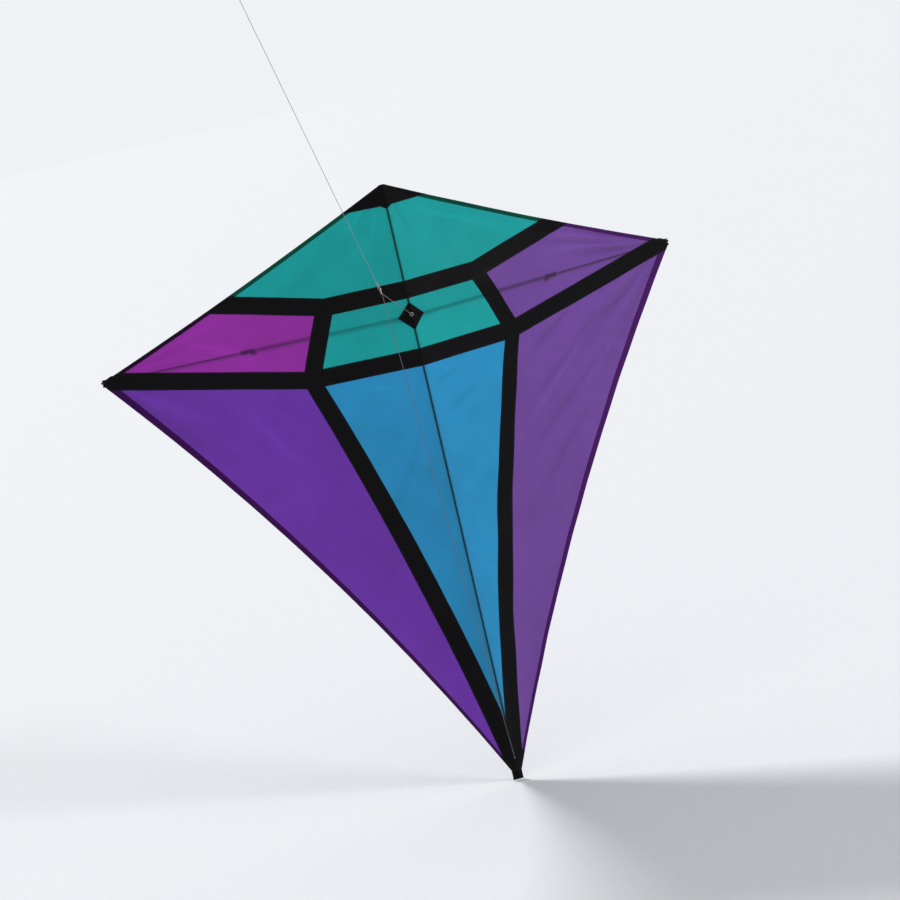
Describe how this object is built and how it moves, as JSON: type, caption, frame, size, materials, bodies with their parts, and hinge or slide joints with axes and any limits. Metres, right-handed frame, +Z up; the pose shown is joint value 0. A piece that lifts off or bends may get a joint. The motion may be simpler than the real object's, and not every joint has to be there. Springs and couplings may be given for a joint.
{
  "type": "diamond kite",
  "caption": "Single-line diamond kite: patterned sail with bent-back wings on a spine and spreader, with a bridle, a snap swivel and a taut flying line.",
  "frame": {"origin": "middle of the flat back rib of the moulded cross, where the spreader crosses the spine", "axes": "+Z up the spine to the nose, -Y towards the wind and the flyer, +X to the right seen from the windward side"},
  "size_m": [1.5122, 1.364, 2.1112],
  "materials": {
    "green_ripstop": "thin coated ripstop, slightly glossy and translucent",
    "blue_ripstop": "thin coated ripstop, slightly glossy and translucent",
    "magenta_ripstop": "thin coated ripstop, slightly glossy and translucent",
    "violet_ripstop": "thin coated ripstop, slightly glossy and translucent",
    "hem_cloth": "folded and stitched ripstop hem",
    "black_band": "black ripstop, sewn flat",
    "carbon_rod": "ground black composite rod",
    "black_vinyl": "moulded black vinyl",
    "bridle_cord": "braided grey polyester",
    "line_cord": "braided pale grey polyester",
    "plated_metal": "nickel-plated wire"
  },
  "bodies": {
    "frame": {"spine": "carbon_rod", "cross_hub": "black_vinyl", "nose_cap": "black_vinyl", "tail_cap": "black_vinyl", "nose_pocket": "black_band", "tail_pocket": "black_band", "eyelet": "plated_metal"},
    "wing_left": {"top_panel_left": "green_ripstop", "middle_panel_left": "green_ripstop", "lower_panel_left": "blue_ripstop", "shoulder_panel_left": "magenta_ripstop", "wing_panel_left": "violet_ripstop", "nose_patch_left": "black_band", "brow_band_left": "black_band", "shoulder_band_left": "black_band", "waist_band_left": "black_band", "wing_band_left": "black_band", "short_band_left": "black_band", "long_band_left": "black_band", "leading_hem_left": "hem_cloth", "trailing_hem_left": "hem_cloth", "centre_patch_left": "black_band", "spreader_socket_left": "black_vinyl", "spreader_tube_left": "carbon_rod", "spreader_ferrule_left": "black_vinyl", "spreader_rod_left": "carbon_rod", "tip_pocket_left": "black_band", "tip_cap_left": "black_vinyl"},
    "wing_right": {"top_panel_right": "green_ripstop", "middle_panel_right": "green_ripstop", "lower_panel_right": "blue_ripstop", "shoulder_panel_right": "violet_ripstop", "wing_panel_right": "violet_ripstop", "nose_patch_right": "black_band", "brow_band_right": "black_band", "shoulder_band_right": "black_band", "waist_band_right": "black_band", "wing_band_right": "black_band", "short_band_right": "black_band", "long_band_right": "black_band", "leading_hem_right": "hem_cloth", "trailing_hem_right": "hem_cloth", "centre_patch_right": "black_band", "spreader_socket_right": "black_vinyl", "spreader_tube_right": "carbon_rod", "spreader_ferrule_right": "black_vinyl", "spreader_rod_right": "carbon_rod", "tip_pocket_right": "black_band", "tip_cap_right": "black_vinyl"},
    "bridle": {"bridle_leg_upper": "bridle_cord", "bridle_leg_lower": "bridle_cord", "bridle_knot_upper": "bridle_cord", "bridle_knot_lower": "bridle_cord", "tow_knot": "bridle_cord", "tow_ring": "plated_metal"},
    "clip": {"snap_swivel": "plated_metal"},
    "line": {"swivel_eye": "plated_metal", "line_knot": "line_cord", "flying_line": "line_cord", "line_end_loop": "line_cord"}
  },
  "joints": [
    {"name": "wing_left_flex", "type": "hinge", "parent": "frame", "child": "wing_left", "pos_m": [0, -0.014, 0], "axis": [0, 0, -1], "range_deg": [-8, 10], "stiffness_Nm_per_rad": 15},
    {"name": "wing_right_flex", "type": "hinge", "parent": "frame", "child": "wing_right", "pos_m": [0, -0.014, 0], "axis": [0, 0, 1], "range_deg": [-8, 10], "stiffness_Nm_per_rad": 15},
    {"name": "bridle_swing", "type": "hinge", "parent": "frame", "child": "bridle", "pos_m": [0, -0.02, 0], "axis": [0, 0, 1], "range_deg": [-73, 116]},
    {"name": "line_tilt", "type": "hinge", "parent": "bridle", "child": "clip", "pos_m": [-0.12061, -0.32052, 0.10455], "axis": [-0.928, 0.3725, 0], "range_deg": [-60, 45]},
    {"name": "swivel_spin", "type": "hinge", "parent": "clip", "child": "line", "pos_m": [-0.12061, -0.32052, 0.10455], "axis": [-0.2724, -0.6787, 0.682], "continuous": true}
  ]
}
